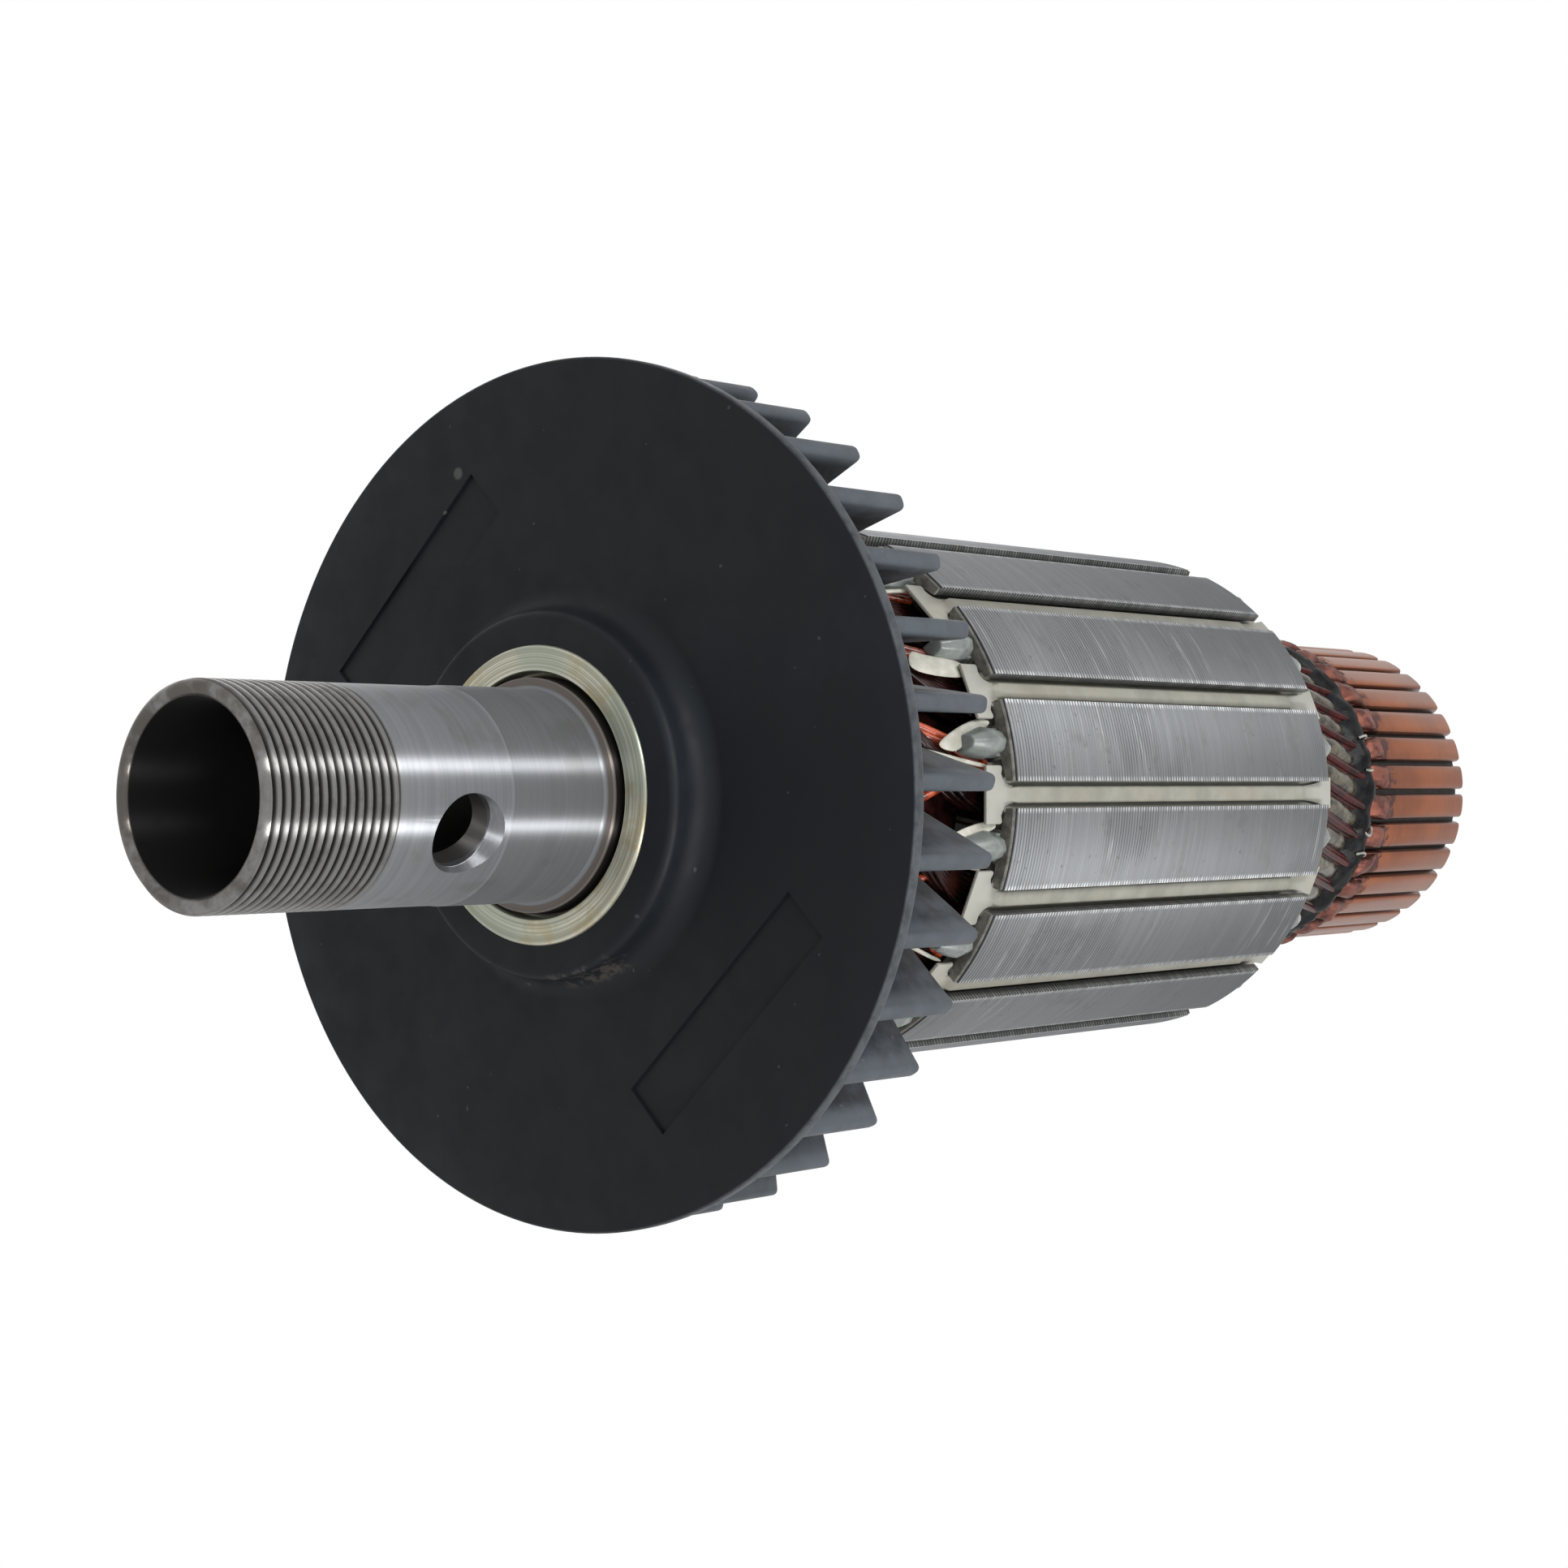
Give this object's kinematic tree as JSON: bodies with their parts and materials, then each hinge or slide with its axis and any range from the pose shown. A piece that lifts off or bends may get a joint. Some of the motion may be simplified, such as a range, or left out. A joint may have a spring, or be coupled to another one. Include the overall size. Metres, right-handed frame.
{
  "type": "motor armature",
  "caption": "Armature of a router-type universal motor: hollow threaded spindle, cooling fan, slotted wound core and hooked commutator on one shaft.",
  "frame": {"origin": "on the shaft's axis, at the middle of the front bearing seat", "axes": "+X along the shaft towards the commutator and rear journal, -X out of the threaded nose; +Z and +Y across the shaft"},
  "size_m": [0.2082, 0.0828, 0.0828],
  "materials": {
    "spindle_steel": "turned and ground, a little stained",
    "sleeve_plastic": "plain moulded",
    "bush_zinc": "faced, with a pale zinc coat",
    "fan_plastic": "satin black moulding, worn grey at the rim",
    "core_steel": "stacked sheets, ground outside",
    "fibre": "grey-brown fibre",
    "pale_plastic": "translucent pale green-grey",
    "slot_paper": "ivory film and paper",
    "enamelled_wire": "red-brown enamel under thin resin",
    "resin": "black, glossy",
    "moulded_resin": "plain moulded",
    "bar_copper": "bare copper, turned, dulled by use"
  },
  "bodies": {
    "root": {"spindle_shaft": "spindle_steel", "shaft_insulation": "sleeve_plastic", "fan_bush": "bush_zinc", "cooling_fan": "fan_plastic", "lamination_core": "core_steel", "front_end_plate": "fibre", "rear_end_plate": "fibre", "front_end_insulator": "pale_plastic", "rear_end_insulator": "pale_plastic", "slot_insulation_01": "slot_paper", "slot_insulation_02": "slot_paper", "slot_insulation_03": "slot_paper", "slot_insulation_04": "slot_paper", "slot_insulation_05": "slot_paper", "slot_insulation_06": "slot_paper", "slot_insulation_07": "slot_paper", "slot_insulation_08": "slot_paper", "slot_insulation_09": "slot_paper", "slot_insulation_10": "slot_paper", "slot_insulation_11": "slot_paper", "slot_insulation_12": "slot_paper", "slot_insulation_13": "slot_paper", "slot_insulation_14": "slot_paper", "slot_insulation_15": "slot_paper", "slot_insulation_16": "slot_paper", "armature_winding": "enamelled_wire", "lead_resin": "resin", "commutator_hub": "moulded_resin", "commutator_bar_01": "bar_copper", "commutator_bar_02": "bar_copper", "commutator_bar_03": "bar_copper", "commutator_bar_04": "bar_copper", "commutator_bar_05": "bar_copper", "commutator_bar_06": "bar_copper", "commutator_bar_07": "bar_copper", "commutator_bar_08": "bar_copper", "commutator_bar_09": "bar_copper", "commutator_bar_10": "bar_copper", "commutator_bar_11": "bar_copper", "commutator_bar_12": "bar_copper", "commutator_bar_13": "bar_copper", "commutator_bar_14": "bar_copper", "commutator_bar_15": "bar_copper", "commutator_bar_16": "bar_copper", "commutator_bar_17": "bar_copper", "commutator_bar_18": "bar_copper", "commutator_bar_19": "bar_copper", "commutator_bar_20": "bar_copper", "commutator_bar_21": "bar_copper", "commutator_bar_22": "bar_copper", "commutator_bar_23": "bar_copper", "commutator_bar_24": "bar_copper", "commutator_bar_25": "bar_copper", "commutator_bar_26": "bar_copper", "commutator_bar_27": "bar_copper", "commutator_bar_28": "bar_copper", "commutator_bar_29": "bar_copper", "commutator_bar_30": "bar_copper", "commutator_bar_31": "bar_copper", "commutator_bar_32": "bar_copper"}
  },
  "joints": []
}
